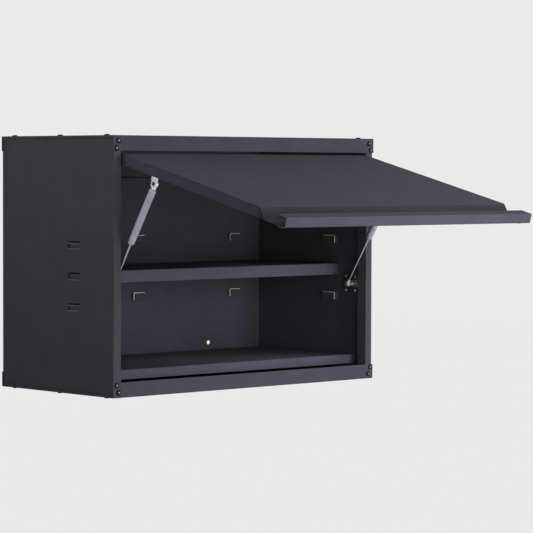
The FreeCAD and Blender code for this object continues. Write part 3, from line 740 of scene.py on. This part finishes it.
# gas struts, as they stand with the door open
strutLine = {'x': 325.5, 'upper': (-445.0074, 160.6203), 'lower': (-309.0, -54.0), 'length': 254.0864}
gasTube = {'profile': [(12.6, 3.8), (12.6, 4.9), (13.0, 5.9), (13.8, 6.7), (15.2, 7.1), (26.0, 7.1),
                       (119.0, 7.1), (119.5, 6.6), (121.0, 6.6), (121.5, 7.1), (128.0, 7.1), (128.5, 6.6),
                       (130.0, 6.6), (130.5, 7.1), (135.2, 7.1), (136.1, 6.8), (136.5, 6.0), (136.5, 3.4),
                       (136.0, 2.6), (128.5, 2.6), (128.5, 6.1), (16.6, 6.1)], 'sides': 40}
tubeEnd = {'eye': [(-2.7, 5.8), (-2.1, 6.5), (2.1, 6.5), (2.7, 5.8)], 'bore': 3.06, 'tangHalf': (2.7, 3.9),
           'tangEnd': 11.2, 'collar': [(10.6, 3.6), (10.9, 4.0), (12.2, 4.0), (12.8, 3.4)], 'sides': 32}
chromeRod = {'profile': [(99.5, 5.4), (100.1, 6.0), (103.0, 6.0), (103.0, 5.4), (105.0, 5.4), (105.0, 6.0),
                         (107.9, 6.0), (108.5, 5.4), (108.5, 2.4), (248.8, 2.4)], 'sides': 32}
rodEnd = {'eye': [(-4.2, 2.2), (-4.0, 3.4), (-3.4, 4.4), (-2.7, 4.4), (-2.7, 5.8), (-2.1, 6.5),
                  (2.1, 6.5), (2.7, 5.8)],
          'collar': [(243.5, 2.8), (244.0, 3.3), (248.0, 3.3), (249.6, 4.0)], 'sides': 32}


def strutPlace(side):
    (upperY, upperZ), (lowerY, lowerZ) = strutLine['upper'], strutLine['lower']
    tilt = math.atan2(upperY - lowerY, lowerZ - upperZ)
    return shift(side * strutLine['x'], upperY, upperZ) @ Matrix.Rotation(tilt, 4, 'X')


def makeGasTube(side):
    return settle(smooth(turnedPiece('tube', gasTube['profile'], gasTube['sides'])), strutPlace(side))


def makeTubeEnd(side):
    settings = tubeEnd
    eye = alongX(turnedPiece('eye', settings['eye'], settings['sides']))
    wide, deep = settings['tangHalf']
    tang = blockPiece('tang', (-wide, -deep, 0), (wide, deep, settings['tangEnd']))
    combine(eye, tang, 'UNION')
    combine(eye, turnedPiece('collar', settings['collar'], settings['sides']), 'UNION')
    bore = turnedPiece('bore', [(-5, settings['bore']), (5, settings['bore'])], settings['sides'])
    combine(eye, alongX(bore), 'DIFFERENCE')
    return settle(smooth(eye), strutPlace(side))


def makeChromeRod(side):
    return settle(smooth(turnedPiece('rod', chromeRod['profile'], chromeRod['sides'])), strutPlace(side))


def makeRodEnd(side):
    settings = rodEnd
    eye = alongX(turnedPiece('eye', settings['eye'], settings['sides']), side)
    settle(eye, shift(0, 0, strutLine['length']))
    combine(eye, turnedPiece('collar', settings['collar'], settings['sides']), 'UNION')
    return settle(smooth(eye), strutPlace(side))


bySides(makeGasTube, 'gasTube', 'strut_tube', 'strut_tube', tubePaint, 'strut_paint')
bySides(makeTubeEnd, 'tubeEnd', 'strut_tube_eye', 'strut_tube', zincPlate, 'zinc_hardware')
bySides(makeChromeRod, 'chromeRod', 'piston_rod', 'strut_rod', rodChrome, 'rod_chrome')
bySides(makeRodEnd, 'rodEnd', 'rod_eye', 'strut_rod', endPlate, 'zinc_hardware')
print("gas struts done")


# small pieces of the door, made closed and swung open
doorSwing = {'pivot': (-368.0, 202.7), 'angle': 76.0}
doorTab = {'x': (328.5, 330.5), 'y': (-360.0, -353.0, -338.5), 'z': (108.8, 126.8), 'narrow': 7.4,
           'midZ': 117.8, 'corner': (2.4, 6), 'footX': 310.5, 'footY': -358.0, 'footCorner': (3.0, 5),
           'edge': 0.35, 'tongueFrom': -359.0, 'overlap': 1.5, 'rivetX': 315.5,
           'rivetZ': (112.8, 122.8), 'rivet': [(0, 2.3), (0.3, 2.3), (0.8, 1.8), (1.0, 1.0)],
           'rivetSides': 20}
tabPin = {'x': 331.1, 'y': -345.8, 'z': 117.8, 'sides': 28,
          'profile': [(0, 3.4), (0.3, 4.1), (0.6, 4.1), (0.6, 3.0), (8.6, 3.0), (8.6, 4.2), (8.8, 4.4),
                      (9.5, 4.4), (9.9, 3.7), (10.1, 2.4)]}
hingeRivet = {'shank': [(0, 2.6), (0.3, 3.0)], 'sides': 28,
              'head': [(0, 3.0), (0, 4.2), (0.15, 4.5), (0.5, 4.4), (0.9, 3.7), (1.2, 2.4)]}
rubberStop = {'x': 321.0, 'y': -360.0, 'z': -235.9, 'sides': 32,
              'profile': [(0, 7.7), (0.3, 8.0), (1.2, 8.0), (3.2, 7.7), (4.2, 7.0), (4.7, 5.8), (4.7, 3.2),
                          (4.4, 2.8), (3.6, 2.2), (3.4, 1.0)]}


def swungOpen(piece):
    y, z = doorSwing['pivot']
    turn = Matrix.Rotation(math.radians(-doorSwing['angle']), 4, 'X')
    return settle(piece, shift(0, y, z) @ turn @ shift(0, -y, -z))


def makeDoorTab(side):
    settings = doorTab
    (x0, x1), (y0, y1, y2), (z0, z1) = settings['x'], settings['y'], settings['z']
    plate = blockPiece('tab', (x0, y0, z0), (x1, y1, z1))
    tongue = blockPiece('tongue', (x0, settings['tongueFrom'], settings['midZ'] - settings['narrow']),
                        (x1, y2, settings['midZ'] + settings['narrow']))
    roundCorners(tongue, settings['corner'],
                 lambda a, b: min(a.y, b.y) > y2 / 1000 - hair and abs(a.z - b.z) < hair)
    foot = blockPiece('foot', (settings['footX'], y0, z0),
                      (x0 + settings['overlap'], settings['footY'], z1))
    roundCorners(foot, settings['footCorner'],
                 lambda a, b: max(a.x, b.x) < settings['footX'] / 1000 + hair and abs(a.z - b.z) < hair)
    combine(plate, tongue, 'UNION')
    combine(plate, foot, 'UNION')
    softEdges(plate, settings['edge'])
    rivets = [settle(turnedPiece('rivet', settings['rivet'], settings['rivetSides']),
                     facing((0, 1, 0), (settings['rivetX'] / 1000, settings['footY'] / 1000, z / 1000)))
              for z in settings['rivetZ']]
    return swungOpen(mirrorTo(smooth(joinAll([plate] + rivets, 'tab')), side))


def makeTabPin(side):
    pin = alongX(smooth(turnedPiece('pin', tabPin['profile'], tabPin['sides'])), -side)
    return swungOpen(settle(pin, shift(side * tabPin['x'], tabPin['y'], tabPin['z'])))


def makeHingeRivet(side):
    # as long as its CAD pin, with the underside of the head at height 0
    low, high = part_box('hinge_pin_' + ('right' if side > 0 else 'left'))
    inner, outer = sorted((abs(low[0]) * 1000, abs(high[0]) * 1000))
    head = hingeRivet['head']
    foot = outer - head[-1][0]
    shank = [(inner - foot + height, radius) for height, radius in hingeRivet['shank']]
    rivet = alongX(smooth(turnedPiece('rivet', shank + head, hingeRivet['sides'])), side)
    y, z = doorSwing['pivot']
    return settle(rivet, shift(side * foot, y, z))


def addRubberStops():
    settings = rubberStop
    for side, word in ((-1, 'Left'), (1, 'Right')):
        stop = smooth(turnedPiece('rubberStop' + word, settings['profile'], settings['sides']))
        place = [side * settings['x'] / 1000, settings['y'] / 1000, settings['z'] / 1000]
        swungOpen(settle(stop, facing((0, 1, 0), place)))
        dress(stop, 'door', bumperRubber, 'bumper_rubber', 'door_bumpers')


bySides(makeDoorTab, 'doorTab', 'strut_tab', 'door', tabPaint, 'zinc_hardware')
bySides(makeTabPin, 'tabPin', 'strut_tab', 'door', blackPaint, 'black_hardware')
bySides(makeHingeRivet, 'hingeRivet', 'hinge_pin', 'cabinet', blackPaint, 'black_hardware')
addRubberStops()
print("door pieces done")


# camera, lights and floor; angles in degrees, the lens in millimetres on a sensor 36 wide
cameraSpot = {'place': (-3.3528, -4.0139, 0.1905), 'heading': 42.9, 'down': 2.287, 'roll': 0.165,
              'lens': 165.8, 'sensor': 36.0, 'farthest': 100.0}


def addCamera():
    bpy.ops.object.camera_add()
    camera = bpy.context.object
    camera.name = 'viewCamera'
    camera.matrix_world = (Matrix.Translation(Vector(cameraSpot['place']))
                           @ Matrix.Rotation(math.radians(-cameraSpot['heading']), 4, 'Z')
                           @ Matrix.Rotation(math.radians(90 - cameraSpot['down']), 4, 'X')
                           @ Matrix.Rotation(math.radians(cameraSpot['roll']), 4, 'Z'))
    camera.data.lens = cameraSpot['lens']
    camera.data.sensor_width = cameraSpot['sensor']
    camera.data.clip_end = cameraSpot['farthest']
    bpy.context.scene.camera = camera


# each lamp has its place in metres, its power in watts and the side of its square
studio = {'aim': (0.0, -0.3, 0.0), 'worldLevel': 0.02, 'background': 0.823,
          'floorZ': -1.3, 'floorSize': 30, 'floorColour': (0.8, 0.8, 0.8, 1), 'floorRoughness': 0.9,
          'floorShare': 0.99,
          'lamps': {'lowLamp': ((1.2, -4.2, -0.5), 8.0, 2.0), 'sideLamp': ((-2.4, -3.6, 0.2), 39.0, 1.5),
                    'frontLamp': ((0.1, -2.6, 0.45), 17.0, 1.0), 'footLamp': ((0.2, -1.6, -0.2), 4.6, 0.6),
                    'leftLamp': ((-1.15, -0.15, 0.65), 4.3, 0.5), 'topLamp': ((0.3, -2.2, 2.4), 4.0, 1.2),
                    'rightLamp': ((1.7, -2.8, 1.5), 20.0, 1.0), 'backLamp': ((0.8, 3.2, 1.4), 45.0, 1.5),
                    'doorLamp': ((1.4, -1.1, 0.9), 13.0, 0.5),
                    'handleLamp': ((0.1, -1.25, -0.05), 2.3, 0.8)}}


def addLamp(name, place, power, size):
    bpy.ops.object.light_add(type='AREA', location=place)
    lamp = bpy.context.object
    lamp.name = name
    lamp.data.energy = power
    lamp.data.size = size
    lamp.visible_camera = False
    aim = Vector(studio['aim']) - Vector(place)
    lamp.rotation_euler = aim.to_track_quat('-Z', 'Y').to_euler()


def addWorld():
    # dim as a light, and as pale as the floor where it is seen
    world = bpy.data.worlds.new('studioWorld')
    bpy.context.scene.world = world
    world.use_nodes = True
    graph = Graph(world.node_tree, 'ShaderNodeOutputWorld')
    lift = studio['background'] - studio['worldLevel']
    strength = studio['worldLevel'] + graph.seenDirectly() * lift
    graph.show(graph.add('ShaderNodeBackground', {}, {'Color': (1, 1, 1, 1), 'Strength': strength}))


def addFloor():
    bpy.ops.mesh.primitive_plane_add(size=studio['floorSize'], location=(0, 0, studio['floorZ']))
    floor = bpy.context.object
    floor.name = 'paleFloor'
    finish = Finish('palePlaster')
    finish.surface(Base_Color=studio['floorColour'], Roughness=studio['floorRoughness'])
    glow = finish.add('ShaderNodeEmission', {}, {'Color': (studio['background'],) * 3 + (1,)})
    share = finish.seenDirectly() * studio['floorShare']
    finish.show(finish.add('ShaderNodeMixShader', {}, {0: share, 1: finish.paint, 2: glow}))
    floor.data.materials.append(finish.material)
    settle(floor)


addCamera()
addWorld()
addFloor()
for lampName, (place, power, size) in studio['lamps'].items():
    addLamp(lampName, place, power, size)
bpy.context.scene.view_settings.view_transform = 'Standard'
print("studio set")
